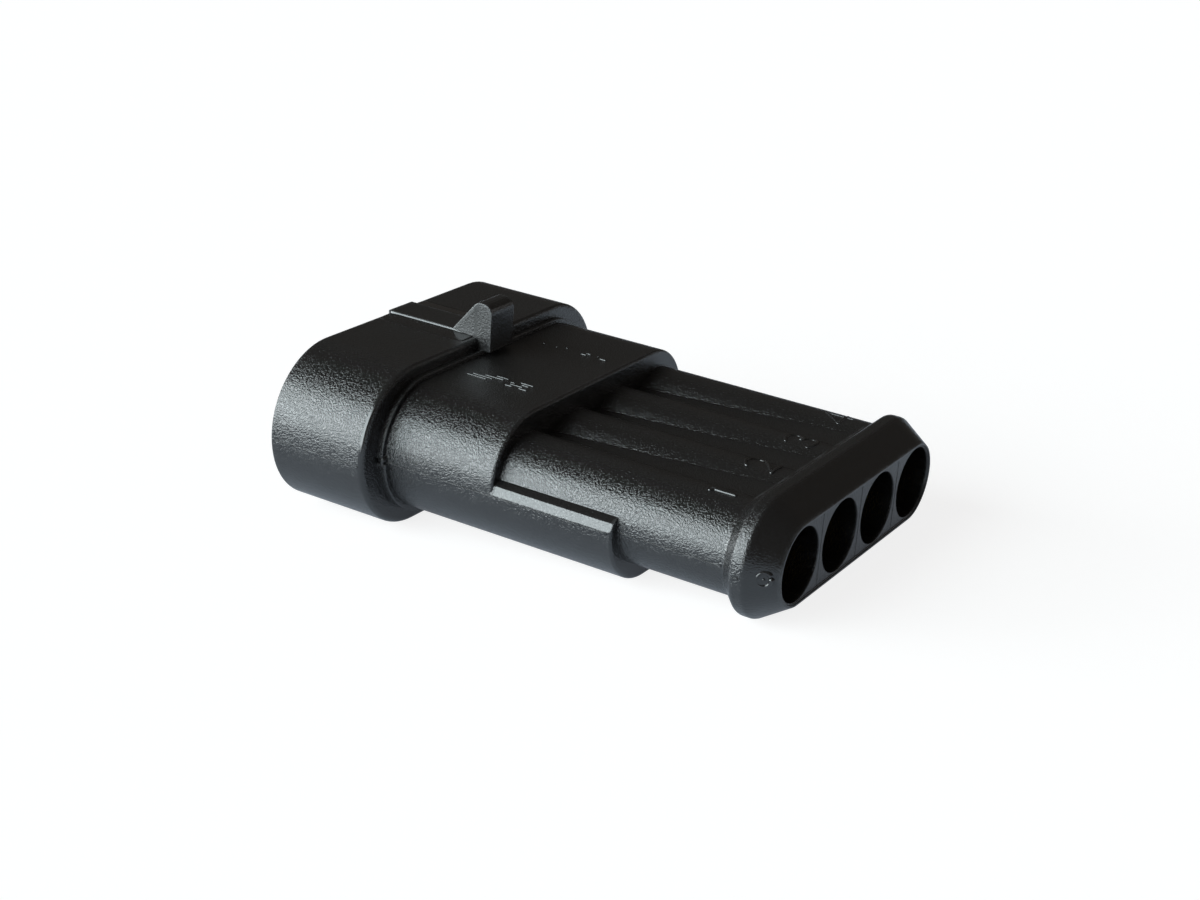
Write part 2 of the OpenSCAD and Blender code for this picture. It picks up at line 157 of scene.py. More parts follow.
# %% Group: moulded grain
grain, g_in, g_out = new_group(
    "moulded grain",
    [("Pit Size", 0.15 * MM), ("Fine Share", 0.35), ("Drift Size", 4 * MM)],
    [("Height", "Float"), ("Drift", "Float")],
)
FINER = 2.3
where = add(grain, "ShaderNodeTexCoord").outputs["Object"]
pits_per_metre = add(grain, "ShaderNodeMath", {"operation": "DIVIDE"},
                     i0=1.0, i1=g_in.outputs["Pit Size"])
fine_per_metre = add(grain, "ShaderNodeMath", {"operation": "MULTIPLY"},
                     i0=pits_per_metre.outputs[0], i1=FINER)
drift_per_metre = add(grain, "ShaderNodeMath", {"operation": "DIVIDE"},
                      i0=1.0, i1=g_in.outputs["Drift Size"])
pits = add(grain, "ShaderNodeTexNoise", Vector=where,
           Scale=pits_per_metre.outputs[0], Detail=1.0, Roughness=0.5)
fine = add(grain, "ShaderNodeTexNoise", Vector=where,
           Scale=fine_per_metre.outputs[0], Detail=0.0)
drift = add(grain, "ShaderNodeTexNoise", Vector=where,
            Scale=drift_per_metre.outputs[0], Detail=3.0)
mixed = add(grain, "ShaderNodeMix", {"data_type": "FLOAT"},
            i0=g_in.outputs["Fine Share"], i2=pits.outputs["Fac"], i3=fine.outputs["Fac"])
height = add(grain, "ShaderNodeMapRange", {"interpolation_type": "SMOOTHSTEP"},
             Value=mixed.outputs[0], From_Min=0.36, From_Max=0.64, To_Min=0.0, To_Max=1.0)
grain.links.new(height.outputs[0], g_out.inputs["Height"])
grain.links.new(drift.outputs["Fac"], g_out.inputs["Drift"])
print("group:", grain.name, [s.name for s in grain.interface.items_tree])

# %% [markdown]
# ## Rubbed edges
#
# No moulded edge is razor sharp, and handling polishes it further. Ambient Occlusion,
# turned to look inwards, finds the outer edges only: there the part is thin, while an
# inner corner has plastic all round it. On those edges the Bevel node turns the normal
# over a small radius, and a noise breaks the rub up, so that it comes and goes.

# %% Group: rubbed edges
rubbed, r_in, r_out = new_group(
    "rubbed edges",
    [("Radius", 0.06 * MM), ("Patch Size", 1.2 * MM)],
    [("Normal", "Vector"), ("Edge", "Float")],
)
rounded = add(rubbed, "ShaderNodeBevel", {"samples": 6}, Radius=r_in.outputs["Radius"])
plain = add(rubbed, "ShaderNodeNewGeometry").outputs["Normal"]
reach = add(rubbed, "ShaderNodeMath", {"operation": "MULTIPLY"},
            i0=r_in.outputs["Radius"], i1=2.0)
inner = add(rubbed, "ShaderNodeAmbientOcclusion",
            {"inside": True, "only_local": True, "samples": 6}, Distance=reach.outputs[0])
edge = add(rubbed, "ShaderNodeMapRange", Value=inner.outputs["AO"],
           From_Min=0.97, From_Max=0.72, To_Min=0.0, To_Max=1.0)
turned = add(rubbed, "ShaderNodeMix", {"data_type": "VECTOR"},
             i0=edge.outputs["Result"], i4=plain, i5=rounded.outputs["Normal"])
patches_per_metre = add(rubbed, "ShaderNodeMath", {"operation": "DIVIDE"},
                        i0=1.0, i1=r_in.outputs["Patch Size"])
patches = add(rubbed, "ShaderNodeTexNoise",
              Vector=add(rubbed, "ShaderNodeTexCoord").outputs["Object"],
              Scale=patches_per_metre.outputs[0], Detail=2.0)
strength = add(rubbed, "ShaderNodeMapRange", Value=patches.outputs["Fac"],
               From_Min=0.35, From_Max=0.65, To_Min=0.25, To_Max=1.0)
broken = add(rubbed, "ShaderNodeMath", {"operation": "MULTIPLY"},
             i0=edge.outputs["Result"], i1=strength.outputs["Result"])
rubbed.links.new(turned.outputs[1], r_out.inputs["Normal"])
rubbed.links.new(broken.outputs[0], r_out.inputs["Edge"])
print("group:", rubbed.name, [s.name for s in rubbed.interface.items_tree])

# %% [markdown]
# ## A starter for all finishes
#
# Plastic, metal and rubber differ in their values, not in their build. Each finish is a
# Principled shader whose colour pales on rubbed edges and on the peaks of the grain,
# whose roughness follows the slow drift, and whose normal takes the grain as a bump. One
# function builds that, so that each finish below is only a handful of values.

# %% The starter
PEAK_SHARE = 0.1


def finish_of(name, color, worn, rough, skin, edges, depth):
    """A Principled material whose colour and roughness follow the grain and the wear."""
    material = bpy.data.materials.new(name)
    material.use_nodes = True
    tree = material.node_tree
    shader = tree.nodes["Principled BSDF"]
    skin_group = use_group(tree, grain, **skin)
    edge_group = use_group(tree, rubbed, **edges)
    peaks = add(tree, "ShaderNodeMath", {"operation": "MULTIPLY"},
                i0=skin_group.outputs["Height"], i1=PEAK_SHARE)
    pale = add(tree, "ShaderNodeMath", {"operation": "MAXIMUM"},
               i0=edge_group.outputs["Edge"], i1=peaks.outputs[0])
    tone = add(tree, "ShaderNodeMix", {"data_type": "RGBA"},
               i0=pale.outputs[0], i6=(*color, 1), i7=(*worn, 1))
    slow = add(tree, "ShaderNodeMapRange", Value=skin_group.outputs["Drift"],
               From_Min=0.3, From_Max=0.7, To_Min=rough[0], To_Max=rough[1])
    bump = add(tree, "ShaderNodeBump", Height=skin_group.outputs["Height"],
               Normal=edge_group.outputs["Normal"], Distance=depth, Strength=1.0)
    tree.links.new(tone.outputs[2], shader.inputs["Base Color"])
    tree.links.new(slow.outputs["Result"], shader.inputs["Roughness"])
    tree.links.new(bump.outputs["Normal"], shader.inputs["Normal"])
    print("finish:", name)
    return material, tree, shader


# %% [markdown]
# ## Black nylon
#
# Glass-filled nylon is nearly black, with a satin skin. Its colour does little; what the
# eye reads is the sheen, and that lives in the roughness and the grain. Lettering is cut
# into the finished steel with a tool, so it comes out smooth: a second finish, of the
# same colours, with hardly any grain and much sharper edges.

# %% Grained and smooth nylon
NYLON, NYLON_WORN = (0.0105, 0.0100, 0.0100), (0.06, 0.061, 0.063)
black_nylon, nylon_tree, nylon_shader = finish_of(
    "black nylon", NYLON, NYLON_WORN, rough=(0.13, 0.18),
    skin={"Pit_Size": 0.15 * MM, "Fine_Share": 0.35, "Drift_Size": 4 * MM},
    edges={"Radius": 0.17 * MM, "Patch_Size": 1.2 * MM}, depth=0.021 * MM,
)
smooth_nylon, _, smooth_shader = finish_of(
    "smooth black nylon", NYLON, NYLON_WORN, rough=(0.16, 0.22),
    skin={"Pit_Size": 0.2 * MM, "Fine_Share": 0.2, "Drift_Size": 2 * MM},
    edges={"Radius": 0.04 * MM, "Patch_Size": 1.2 * MM}, depth=0.003 * MM,
)
for shader in (nylon_shader, smooth_shader):
    shader.inputs["IOR"].default_value = 1.6
    shader.inputs["Specular IOR Level"].default_value = 0.85

# %% [markdown]
# ## Ground places
#
# Beside the tubes the two mould halves shut on a narrow ledge, the catch comes from a
# small insert, and the hood's rear edge and the flange's front lie on joints of the
# mould. There the steel is ground, not eroded, so these have far less grain. Their places
# are known, so comparisons of the position make masks, and each mask flattens the pits.

# %% Masks by place
nylon_spot = add(nylon_tree, "ShaderNodeSeparateXYZ",
                 Vector=add(nylon_tree, "ShaderNodeTexCoord").outputs["Object"]).outputs
off_middle = add(nylon_tree, "ShaderNodeMath", {"operation": "ABSOLUTE"}, i0=nylon_spot["Y"])
MEASURES = ((nylon_spot["X"], X_FRONT), (off_middle.outputs[0], 0), (nylon_spot["Z"], AXIS_Z))


def all_of(masks):
    """1 where every mask of the nylon is 1."""
    whole = masks[0]
    for mask in masks[1:]:
        whole = add(nylon_tree, "ShaderNodeMath", {"operation": "MULTIPLY"},
                    i0=whole, i1=mask).outputs[0]
    return whole


def inside(*ranges):
    """1 in a box of the nylon: from and to, in mm, behind the front, off the middle, up."""
    masks = []
    for (measure, origin), (start, stop) in zip(MEASURES, ranges):
        middle, reach = (start + stop) / 2 * MM, (stop - start) / 2 * MM
        masks.append(add(nylon_tree, "ShaderNodeMath", {"operation": "COMPARE"},
                         i0=measure, i1=origin + middle, i2=reach).outputs[0])
    return all_of(masks)


ledge = inside((18.6, 28.3), (12.2, 13.3), (0.03, 1.0))
catch = inside((6.2, 10.6), (-0.1, 1.52), (5.05, 12))
hood_rear = inside((8.14, 8.46))
flange_front = inside((38.5, 40.8))
print("masks: ledge, catch, hood's rear edge, flange's front")


# %% Calm the grain there
def source_of(socket):
    """The socket that feeds this one."""
    return socket.links[0].from_socket


GRAIN_LEFT = ((ledge, 0.45), (catch, 0.6), (hood_rear, 0.12), (flange_front, 0.45))
kept = all_of([
    add(nylon_tree, "ShaderNodeMapRange", Value=mask, To_Min=1.0, To_Max=share).outputs["Result"]
    for mask, share in GRAIN_LEFT
])
nylon_bump = source_of(nylon_shader.inputs["Normal"]).node
calmed = add(nylon_tree, "ShaderNodeMath", {"operation": "MULTIPLY"},
             i0=source_of(nylon_bump.inputs["Height"]), i1=kept)
nylon_tree.links.new(calmed.outputs[0], nylon_bump.inputs["Height"])
print("grain left:", [share for _, share in GRAIN_LEFT])

# %% [markdown]
# ## Dull tops
#
# The flat tops lift straight off the steel, while the side walls are dragged along it and
# polished. So the tops come out duller, and so do the catch's cheeks, which have hardly
# any draft. A mask made from the way the surface faces adds to their roughness.

# %% Dull the tops and the cheeks
DULLER, CHEEK_SHARE = 0.2, 1.2
facing = add(nylon_tree, "ShaderNodeSeparateXYZ",
             Vector=add(nylon_tree, "ShaderNodeTexCoord").outputs["Normal"]).outputs
tops = add(nylon_tree, "ShaderNodeMapRange", Value=facing["Z"], From_Min=0.93, From_Max=0.99)
aside = add(nylon_tree, "ShaderNodeMath", {"operation": "ABSOLUTE"}, i0=facing["Y"])
walls = add(nylon_tree, "ShaderNodeMapRange", Value=aside.outputs[0], From_Min=0.8, From_Max=0.95)
cheeks = add(nylon_tree, "ShaderNodeMath", {"operation": "MULTIPLY"},
             i0=all_of([catch, walls.outputs["Result"]]), i1=CHEEK_SHARE)
dull = add(nylon_tree, "ShaderNodeMath", {"operation": "MAXIMUM"},
           i0=tops.outputs["Result"], i1=cheeks.outputs[0])
more = add(nylon_tree, "ShaderNodeMath", {"operation": "MULTIPLY"}, i0=dull.outputs[0], i1=DULLER)
rougher = add(nylon_tree, "ShaderNodeMath", {"operation": "ADD"},
              i0=source_of(nylon_shader.inputs["Roughness"]), i1=more.outputs[0])
nylon_tree.links.new(rougher.outputs[0], nylon_shader.inputs["Roughness"])
print("tops rougher by", DULLER, "and cheeks by", round(DULLER * CHEEK_SHARE, 2))

# %% [markdown]
# ## The hidden finishes
#
# The lock plate is a pale satin moulding, the contacts are bright tin on copper alloy,
# and the seals are matt silicone. They share the same two groups with other values: the
# metal has a very fine grain and bright worn edges, the rubber a dull, even skin.

# %% Lock plate, contacts and seals
lock_plastic, _, _ = finish_of(
    "pale lock plastic", (0.78, 0.70, 0.47), (0.86, 0.80, 0.60), rough=(0.38, 0.50),
    skin={"Pit_Size": 0.12 * MM, "Fine_Share": 0.5, "Drift_Size": 3 * MM},
    edges={"Radius": 0.05 * MM, "Patch_Size": 1 * MM}, depth=0.004 * MM,
)
tinned_metal, _, metal_shader = finish_of(
    "tinned metal", (0.66, 0.65, 0.62), (0.82, 0.81, 0.79), rough=(0.20, 0.34),
    skin={"Pit_Size": 0.07 * MM, "Fine_Share": 0.6, "Drift_Size": 1.2 * MM},
    edges={"Radius": 0.04 * MM, "Patch_Size": 0.6 * MM}, depth=0.002 * MM,
)
metal_shader.inputs["Metallic"].default_value = 1.0
seal_rubber, _, _ = finish_of(
    "silicone rubber", (0.72, 0.45, 0.05), (0.76, 0.52, 0.10), rough=(0.52, 0.66),
    skin={"Pit_Size": 0.09 * MM, "Fine_Share": 0.4, "Drift_Size": 2.5 * MM},
    edges={"Radius": 0.05 * MM, "Patch_Size": 1 * MM}, depth=0.003 * MM,
)

# %% [markdown]
# ## Dress the solids
#
# The record names a material slot for each solid. The solids keep their shapes, which are
# right as they are, and only their material is swapped, by looking the slot up here.

# %% Dress the frame's nodes
FINISHES = {
    "black_nylon": black_nylon, "lock_plastic": lock_plastic,
    "tinned_metal": tinned_metal, "seal_rubber": seal_rubber,
}
for part in frame["record"]["subparts"]:
    node = frame["nodes"][part["node"]]
    node.data.materials.clear()
    node.data.materials.append(FINISHES[part["material_slot"]])
    print(part["node"], "->", FINISHES[part["material_slot"]].name)

# %% [markdown]
# ## Raised lines
#
# Numbers, witness lines and the gate mark are all the same thing on the real part:
# shallow grooves in the mould, which leave low rounded ridges. One function makes them
# all. It walks along a path on a face, and at each step lays down a small rounded
# section, upright on the face. The section shrinks at both ends, so that a line ends
# round, and it starts a little below the face, so that no gap shows. A slow noise can
# make the ridge uneven, as flash and hand-cut marks are.

# %% The ridge maker
SECTION = ((-1, -0.6), (-1, 0.1), (-0.8, 0.6), (-0.4, 0.92), (0, 1),
           (0.4, 0.92), (0.8, 0.6), (1, 0.1), (1, -0.6))
RIDGE_STEP = 0.09 * MM
END_SHARE = 0.3
WAVER_PER_METRE = 900


def steps_along(path, step):
    """Points along a path of corners, about one step apart, with the corners kept."""
    points = [Vector(path[0])]
    for a, b in zip(path, path[1:]):
        a, b = Vector(a), Vector(b)
        count = max(1, round((b - a).length / step))
        points += [a.lerp(b, k / count) for k in range(1, count + 1)]
    return points


def swell_of(here, to_end, unevenness):
    """The section's size at a point: round at the ends, uneven in between."""
    swell = max(END_SHARE, sqrt(1 - (1 - min(to_end, 1)) ** 2))
    return swell * (1 + unevenness * noise.noise(Vector((here.x, here.y, 0)) * WAVER_PER_METRE))


def join_rings(mesh, rings):
    """Skins a row of rings of corners into one closed body."""
    for a, b in zip(rings, rings[1:]):
        for k in range(len(a)):
            n = (k + 1) % len(a)
            mesh.faces.new((a[k], a[n], b[n], b[k]))
    mesh.faces.new(rings[0][::-1])
    mesh.faces.new(rings[-1])


def ridge(mesh, path, face, width, height, unevenness=0.0):
    """Adds one ridge. face(u, v) gives the point and the normal there."""
    points = steps_along(path, RIDGE_STEP)
    travelled = [0.0]
    for a, b in zip(points, points[1:]):
        travelled.append(travelled[-1] + (b - a).length)
    rings = []
    for k, here in enumerate(points):
        ahead, behind = points[min(k + 1, len(points) - 1)], points[max(k - 1, 0)]
        along = (ahead - behind).normalized()
        across = Vector((along.y, -along.x))
        to_end = min(travelled[k], travelled[-1] - travelled[k]) / (width / 2)
        swell = swell_of(here, to_end, unevenness)
        ring = []
        for s, h in SECTION:
            place = here + across * (s * swell * width / 2)
            point, normal = face(place.x, place.y)
            ring.append(mesh.verts.new(point + normal * (h * swell * height)))
        rings.append(ring)
    join_rings(mesh, rings)


print("ridge section:", len(SECTION), "corners, one every", RIDGE_STEP / MM, "mm")


# %% From mesh to piece
def finished(name, mesh, material):
    """Turns a bmesh into a piece of the connector, with its finish."""
    bmesh.ops.recalc_face_normals(mesh, faces=mesh.faces)
    for f in mesh.faces:
        f.smooth = len(f.verts) == 4
    data = bpy.data.meshes.new(name)
    mesh.to_mesh(data)
    mesh.free()
    data.materials.append(material)
    piece = bpy.data.objects.new(name, data)
    bpy.context.scene.collection.objects.link(piece)
    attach(piece, "connector")
    print(name, "-", len(data.polygons), "faces")


def ridge_piece(name, jobs, width, height, unevenness=0.0, material=smooth_nylon):
    """One piece of many ridges, each job a path and the face that it lies on."""
    mesh = bmesh.new()
    for path, face in jobs:
        ridge(mesh, path, face, width, height, unevenness)
    finished(name, mesh, material)


def in_metres(path):
    """The corners of a path drawn in millimetres, in metres."""
    return [(u * MM, v * MM) for u, v in path]


# %% [markdown]
# ## The way numbers
#
# Each tube carries its number, raised, just ahead of the flange, to be read from the wire
# end. A text object would bring a typeface, with thin flat letters. Mould makers cut such
# numbers with a round engraving tool, so here they are single strokes of the ridge maker,
# bent round the tube. The later numbers stand a little lower, as if cut less deep.

# %% Numbers 1 to 4
def arc(cx, cy, rx, ry, start, stop, count=12):
    """Corners of an arc of an ellipse, from one angle to another in degrees."""
    angles = [radians(start + (stop - start) * k / count) for k in range(count + 1)]
    return [(cx + rx * cos(a), cy + ry * sin(a)) for a in angles]


NUMBERS = (
    [[(-0.3, 1.92), (0.08, 1.6)], [(0.08, 1.92), (0.08, -0.12)]],
    [arc(0.2, 1.75, 0.9, 0.72, 168, -38) + [(-0.72, 0.05), (1.0, 0.05)]],
    [arc(0.05, 1.8, 0.85, 0.55, 160, -90) + arc(0.05, 0.63, 0.9, 0.62, 90, -160)],
    [[(0.42, -0.05), (0.42, 2.35), (-0.85, 0.7), (0.95, 0.7)]],
)
NUMBER_FOOT = X_END - 5.4 * MM
NUMBER_STROKE = 0.25 * MM
NUMBER_RISE = (0.125, 0.115, 0.085, 0.06)


def tube_top(way_y):
    """The top of one tube: u runs across it, v from the flange towards the hood."""
    def face(u, v):
        lean = u / TUBE_R
        normal = Vector((0, lean, sqrt(1 - lean * lean)))
        return Vector((NUMBER_FOOT - v, way_y, AXIS_Z)) + normal * TUBE_R, normal
    return face


numbers = bmesh.new()
for strokes, way_y, rise in zip(NUMBERS, WAY_Y, NUMBER_RISE):
    for stroke in strokes:
        ridge(numbers, in_metres(stroke), tube_top(way_y), NUMBER_STROKE, rise * MM, 0.1)
finished("way_numbers", numbers, smooth_nylon)

# %% [markdown]
# ## The tally marks on the collar
#
# Moulders leave small raised marks on a free face, to tell cavities and batches apart.
# Two groups of plain dashes stand on the collar's flat top, thin enough that only their
# edges catch the light. Each row below lies so far off the middle, and holds the start
# and end of its dashes behind the mating face, in millimetres.

# %% Tally marks
TALLY = {
    -5.45: ((10.4, 12.3), (13.9, 14.6), (15.1, 15.9)),
    -5.10: ((10.7, 12.6), (14.1, 15.3)),
    -4.75: ((11.6, 13.4), (13.9, 14.4), (14.9, 15.6)),
    -4.40: ((12.4, 13.6), (14.6, 15.8)),
    3.95: ((10.9, 11.2), (12.1, 12.3), (14.4, 15.0), (16.1, 16.8)),
    4.30: ((12.8, 13.1), (14.7, 15.2), (15.7, 15.9)),
}


def collar_flat(u, v):
    """The collar's flat top: u along the connector from the mating face, v across it."""
    return Vector((X_FRONT + u, v, AXIS_Z + COLLAR_TOP)), Vector((0, 0, 1))


dashes = [
    (in_metres([(start, row), (stop, row)]), collar_flat)
    for row, marks in TALLY.items() for start, stop in marks
]
ridge_piece("tally_marks", dashes, width=0.13 * MM, height=0.07 * MM, unevenness=0.3)

# %% [markdown]
# ## The parting line
#
# The two halves of the mould meet at mid-height, and a whisker of plastic creeps into the
# joint. It shows as a hairline along both sides of the housing, step by step over hood,
# collar, tube and flange. Each run stops short of the steps, and is so low that a broken
# glint is all there is to see.

# %% Parting line
PARTING = -0.12 * MM
RUNS = (
    (0.2 * MM, 8.2 * MM, HOOD_SIDE),
    (8.7 * MM, 28.05 * MM, COLLAR_SIDE),
    (28.35 * MM, 36.5 * MM, WAY_Y[-1] + TUBE_R),
    (37.75 * MM, 38.35 * MM, WAY_Y[-1] + RIM_R),
)


def side_wall(side, start, out):
    """A side of the housing, that far off the middle: u behind the start, v up."""
    def face(u, v):
        return Vector((X_FRONT + start + u, side * out, AXIS_Z + v)), Vector((0, side, 0))
    return face


hairlines = [
    ([(0, PARTING), (stop - start, PARTING)], side_wall(side, start, out))
    for side in (-1, 1) for start, stop, out in RUNS
]
ridge_piece("parting_line", hairlines, width=0.1 * MM, height=0.022 * MM, unevenness=0.8,
            material=black_nylon)

# %% [markdown]
# ## Flash in the ring's gap
#
# The ring at the collar's foot is broken at mid-height, where the mould halves meet, and
# the gap is filled with crooked scraps of flash. A few crossing ridges on the collar's
# side, nearly as high as the ring and very uneven, make such a knot.

# %% Flash
RING_FOOT = 8.66 * MM
FLASH_OUT = COLLAR_SIDE + 0.03 * MM
SCRAPS = (
    [(-0.02, 0.3), (0.02, 0.02), (0.0, -0.3)],
    [(0.0, 0.16), (0.22, 0.1), (0.34, -0.02), (0.3, -0.16), (0.42, -0.34)],
    [(-0.02, -0.04), (0.16, -0.12), (0.34, -0.2)],
    [(0.3, 0.36), (0.38, 0.12), (0.52, -0.02)],
)
knots = [
    (in_metres(path), side_wall(side, RING_FOOT, FLASH_OUT))
    for side in (-1, 1) for path in SCRAPS
]
ridge_piece("ring_flash", knots, width=0.24 * MM, height=0.27 * MM, unevenness=1.2,
            material=black_nylon)

# %% [markdown]
# ## Lines on the end face
#
# The steel pins that form the mouths leave hairlines of their own between the holes, and
# the insert that shapes the sunk end face leaves one all round it. They are narrower and
# more even than the parting line, because these steels fit more closely.

# %% Lines between the mouths
FACE_STEP = 0.12 * MM
LINE_REACH = 2.7 * MM


def end_face(u, v):
    """The end face inside its rim: u across the ways, v up from their axes."""
    return Vector((X_END - FACE_STEP, u, AXIS_Z + v)), Vector((1, 0, 0))


uprights = [
    ([((a + b) / 2, -LINE_REACH), ((a + b) / 2, LINE_REACH)], end_face)
    for a, b in zip(WAY_Y, WAY_Y[1:])
]
ridge_piece("core_pin_lines", uprights, width=0.07 * MM, height=0.02 * MM, unevenness=0.6)

# %% The line round the end face
BEVEL_START, BEVEL_STOP = 38.49 * MM, 40.70 * MM
NOSE_R = 2.974 * MM
FACE_R = NOSE_R - 0.2 * MM
last_way = WAY_Y[-1]
loop = [(-last_way, FACE_R), (last_way, FACE_R)]
loop += arc(last_way, 0, FACE_R, FACE_R, 85, -85, 36)
loop += [(last_way, -FACE_R), (-last_way, -FACE_R)]
loop += arc(-last_way, 0, FACE_R, FACE_R, 265, 95, 36)
loop += [loop[0]]
ridge_piece("end_face_edge", [(loop, end_face)], width=0.09 * MM, height=0.05 * MM, unevenness=0.3)

# %% [markdown]
# ## The gate mark
#
# Plastic entered the mould through a small round gate on the flange's bevel, and it was
# broken off there. What stays is an uneven little ring, with a stub in its middle. The
# bevel is part of a cone, so the face function finds the cone's radius and normal first.

# %% Gate mark
GATE = 39.75 * MM
cone_lean = (NOSE_R - RIM_R) / (BEVEL_STOP - BEVEL_START)


def flange_bevel(u, v):
    """The near end of the flange's bevel: u down the slope, v round it."""
    behind = GATE + u / sqrt(1 + cone_lean ** 2)
    radius = RIM_R + (behind - BEVEL_START) * cone_lean
    angle = v / radius
    out = Vector((0, -cos(angle), sin(angle)))
    normal = (Vector((1, 0, 0)) * -cone_lean + out).normalized()
    return Vector((X_FRONT + behind, WAY_Y[0], AXIS_Z)) + out * radius, normal


gate_ring = in_metres(arc(0, 0, 0.52, 0.5, 20, 380, 30))
gate_stub = in_metres([(-0.1, 0.02), (0.1, -0.02)])
ridge_piece("gate_mark", [(gate_ring, flange_bevel), (gate_stub, flange_bevel)],
            width=0.24 * MM, height=0.12 * MM, unevenness=1.3)

# %% [markdown]
# ## The skirts of the strip
#
# A low strip leads over the hood to the catch. Its upper edge is crisp and mirrors the
# window as one bright thread, but below that edge the hood swells up to meet it, so the
# strip hardly stands proud. Each skirt is a long band: steep for a moment, then almost
# level until it has run out on the hood, with its rim sunk below the hood's top, so that
# no second edge shows. Along the catch's foot the whole skirt sinks away.

# %% The skirt's shape
STRIP_HALF = 1.45 * MM
HOOD_TOP = AXIS_Z + HOOD_R
SUNK = 0.09
PROFILE = ((-0.04, 0.238), (0.0, 0.236), (0.014, 0.225), (0.033, 0.185), (0.053, 0.145),
           (0.08, 0.115), (0.25, 0.1), (0.7, 0.075), (1.2, 0.03), (1.7, -0.012), (1.75, -SUNK),
           (-0.04, -SUNK))
LIP = 3
SKIRT_START, SKIRT_STOP, SKIRT_STEP = 0.12 * MM, 8.12 * MM, 0.25 * MM
SWELL_FROM, SWELL_ROWS = 0.35, 6
SINK_START, SINK_LENGTH, SINK_SHARE = 6.2 * MM, 2.0 * MM, 0.85
print("skirt profile:", len(PROFILE), "corners,", PROFILE[0][1], "mm high at the strip")


# %% Strip skirts
def profile_at(row, behind):
    """The profile in one row: lower at the front, all but the lip, and at the catch's foot."""
    swell = min(1, SWELL_FROM + row / SWELL_ROWS)
    sink = min(1, 1 - SINK_SHARE * (behind - SINK_START) / SINK_LENGTH)
    heights = [min(rise, rise * sink) for _, rise in PROFILE]
    heights[LIP:-1] = [rise * swell for rise in heights[LIP:-1]]
    return [(out, rise) for (out, _), rise in zip(PROFILE, heights)]


def skirt(mesh, side):
    """One skirt beside the strip, from the mating face to the catch."""
    count = round((SKIRT_STOP - SKIRT_START) / SKIRT_STEP)
    rows = []
    for k in range(count + 1):
        behind = SKIRT_START + (SKIRT_STOP - SKIRT_START) * k / count
        rows.append([
            mesh.verts.new((X_FRONT + behind, side * (STRIP_HALF + out * MM), HOOD_TOP + rise * MM))
            for out, rise in profile_at(k, behind)
        ])
    join_rings(mesh, rows)


skirts = bmesh.new()
for side in (-1, 1):
    skirt(skirts, side)
finished("strip_skirts", skirts, smooth_nylon)

# %% [markdown]
# ## The table
#
# Set down on a table, the connector leans: it stands on the hood's lower rear edge and
# on the flange. The table is therefore a large plane, tilted until it touches both. The
# heel is the last corner of the housing that lies lowest, and the slope is the smallest
# one from there to any corner further back.

# %% Table
TABLE_SIZE = 3.0
LOWEST = 0.001 * MM
PAST_HEEL = 5 * MM
corners = [v.co for v in frame["nodes"]["housing"].data.vertices]
floor_z = min(v.z for v in corners)
heel = max((v for v in corners if v.z < floor_z + LOWEST), key=lambda v: v.x)
slope = min((v.z - heel.z) / (v.x - heel.x) for v in corners if v.x > heel.x + PAST_HEEL)
print("the connector leans", round(degrees(slope), 2), "degrees")

sheet = bmesh.new()
sheet.faces.new([
    sheet.verts.new((heel.x + a * TABLE_SIZE, b * TABLE_SIZE, heel.z + slope * a * TABLE_SIZE))
    for a, b in ((-1, -1), (1, -1), (1, 1), (-1, 1))
])
table_data = bpy.data.meshes.new("table")
sheet.to_mesh(table_data)
sheet.free()
table = bpy.data.objects.new("table", table_data)
bpy.context.scene.collection.objects.link(table)

# %% [markdown]
# ## The table's look
#
# The camera sees the table white, with the connector's soft shadow kept. The connector
# itself sees it otherwise: a pale table close by, which lights its underside, falling off
# into a darker room, or its black sides would turn grey all over. That fall-off is painted
# light: close by, the table's reflections carry a faint glow on top of its matt paper, and
# far off the table is only a dim warm glow in place of a room. Light Path tells the two
# apart. From below the table is clear, so that the underside can be looked at.

# %% White table
white_table = bpy.data.materials.new("white table")
white_table.use_nodes = True
tree = white_table.node_tree
tree.nodes.clear()
ray = add(tree, "ShaderNodeLightPath").outputs
paper = add(tree, "ShaderNodeBsdfDiffuse", Color=(0.30, 0.30, 0.30, 1))
white = add(tree, "ShaderNodeEmission", Color=(1, 1, 1, 1), Strength=0.84)
seen = add(tree, "ShaderNodeAddShader", i0=paper.outputs[0], i1=white.outputs[0])

matt = add(tree, "ShaderNodeBsdfDiffuse", Color=(0.36, 0.40, 0.45, 1))
# painted reflection: for glossy rays the table glows a little, close by
shine = add(tree, "ShaderNodeMath", {"operation": "MULTIPLY"}, i0=ray["Is Glossy Ray"], i1=0.25)
near_glow = add(tree, "ShaderNodeEmission", Color=(0.88, 0.97, 1.1, 1), Strength=shine.outputs[0])
close_by = add(tree, "ShaderNodeAddShader", i0=matt.outputs[0], i1=near_glow.outputs[0])
away = add(tree, "ShaderNodeVectorMath", {"operation": "LENGTH"},
           i0=add(tree, "ShaderNodeNewGeometry").outputs["Position"])
far_off = add(tree, "ShaderNodeMapRange", {"interpolation_type": "SMOOTHSTEP"},
              Value=away.outputs["Value"], From_Min=0.10, From_Max=0.20, To_Min=0.0, To_Max=1.0)
# painted light: far off, the table is only a dim warm glow standing in for the room
far_glow = add(tree, "ShaderNodeEmission", Color=(1.0, 0.92, 0.85, 1), Strength=0.1)
faded = add(tree, "ShaderNodeMixShader",
            i0=far_off.outputs["Result"], i1=close_by.outputs[0], i2=far_glow.outputs[0])

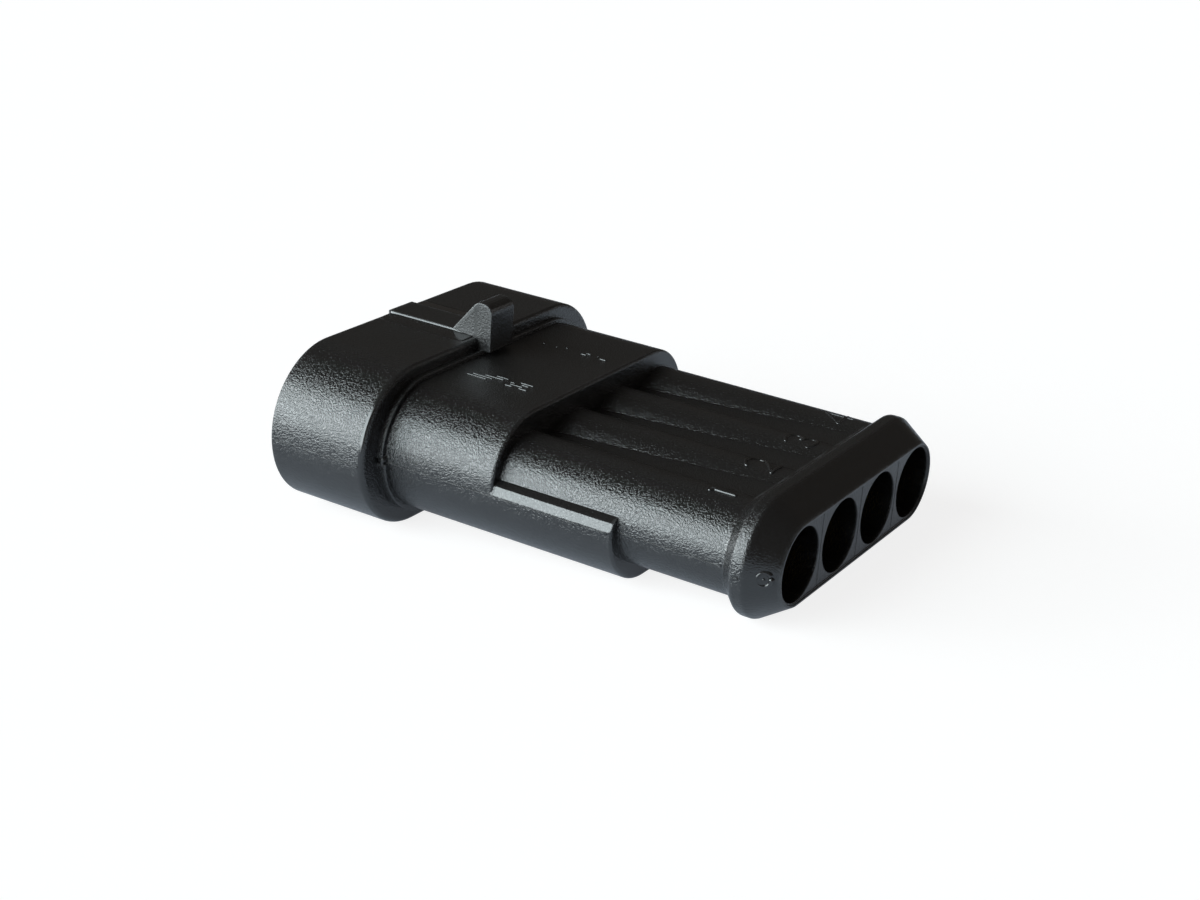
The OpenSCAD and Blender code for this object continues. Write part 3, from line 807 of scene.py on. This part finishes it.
by_ray = add(tree, "ShaderNodeMixShader",
             i0=ray["Is Camera Ray"], i1=faded.outputs[0], i2=seen.outputs[0])
clear = add(tree, "ShaderNodeBsdfTransparent")
below = add(tree, "ShaderNodeNewGeometry").outputs["Backfacing"]
from_below = add(tree, "ShaderNodeMath", {"operation": "MULTIPLY"}, i0=ray["Is Camera Ray"], i1=below)
both = add(tree, "ShaderNodeMixShader",
           i0=from_below.outputs[0], i1=by_ray.outputs[0], i2=clear.outputs[0])
tree.links.new(both.outputs[0], add(tree, "ShaderNodeOutputMaterial").inputs["Surface"])
table_data.materials.append(white_table)
print("table:", len(tree.nodes), "nodes")

# %% [markdown]
# ## Light
#
# One big soft window stands on the near left. A Sun lamp with a wide angle gives the same
# even light at any distance, and its disc is what the satin sides mirror. Three weaker
# ones stand for a pale wall on the left, a doorway straight ahead of the near side, and a
# far wall. The room itself is dim, but the camera sees it white, like the table.

# %% Lamps
def sun(name, towards, strength, width, color):
    """A Sun lamp that shines from a direction, as wide as a disc of that many degrees."""
    lamp = bpy.data.lights.new(name, "SUN")
    lamp.energy, lamp.angle, lamp.color = strength, radians(width), color
    stand = bpy.data.objects.new(name, lamp)
    bpy.context.scene.collection.objects.link(stand)
    stand.rotation_mode = "QUATERNION"
    stand.rotation_quaternion = Vector(towards).to_track_quat("Z", "Y")
    print(name, strength, "W/m2,", width, "degrees wide")


sun("window", (-0.49, -0.80, 0.355), 3.15, 54, (0.86, 0.97, 1.0))
sun("left wall", (-0.89, -0.44, 0.08), 2.2, 36, (0.9, 0.98, 1.0))
sun("doorway", (-0.02, -0.98, 0.16), 0.32, 30, (0.9, 0.98, 1.0))
sun("far wall", (0.57, 0.80, 0.06), 0.07, 30, (1.0, 0.98, 0.97))

# %% World
world = bpy.data.worlds.new("room")
bpy.context.scene.world = world
world.use_nodes = True
room = world.node_tree
room.nodes.clear()
dim = add(room, "ShaderNodeBackground", Color=(1.0, 0.91, 0.82, 1), Strength=0.064)
bright = add(room, "ShaderNodeBackground", Color=(1, 1, 1, 1), Strength=1.0)
look = add(room, "ShaderNodeMixShader", i0=add(room, "ShaderNodeLightPath").outputs["Is Camera Ray"],
           i1=dim.outputs[0], i2=bright.outputs[0])
room.links.new(look.outputs[0], add(room, "ShaderNodeOutputWorld").inputs["Surface"])
bpy.context.scene.view_settings.view_transform = "Standard"
print("world:", world.name)
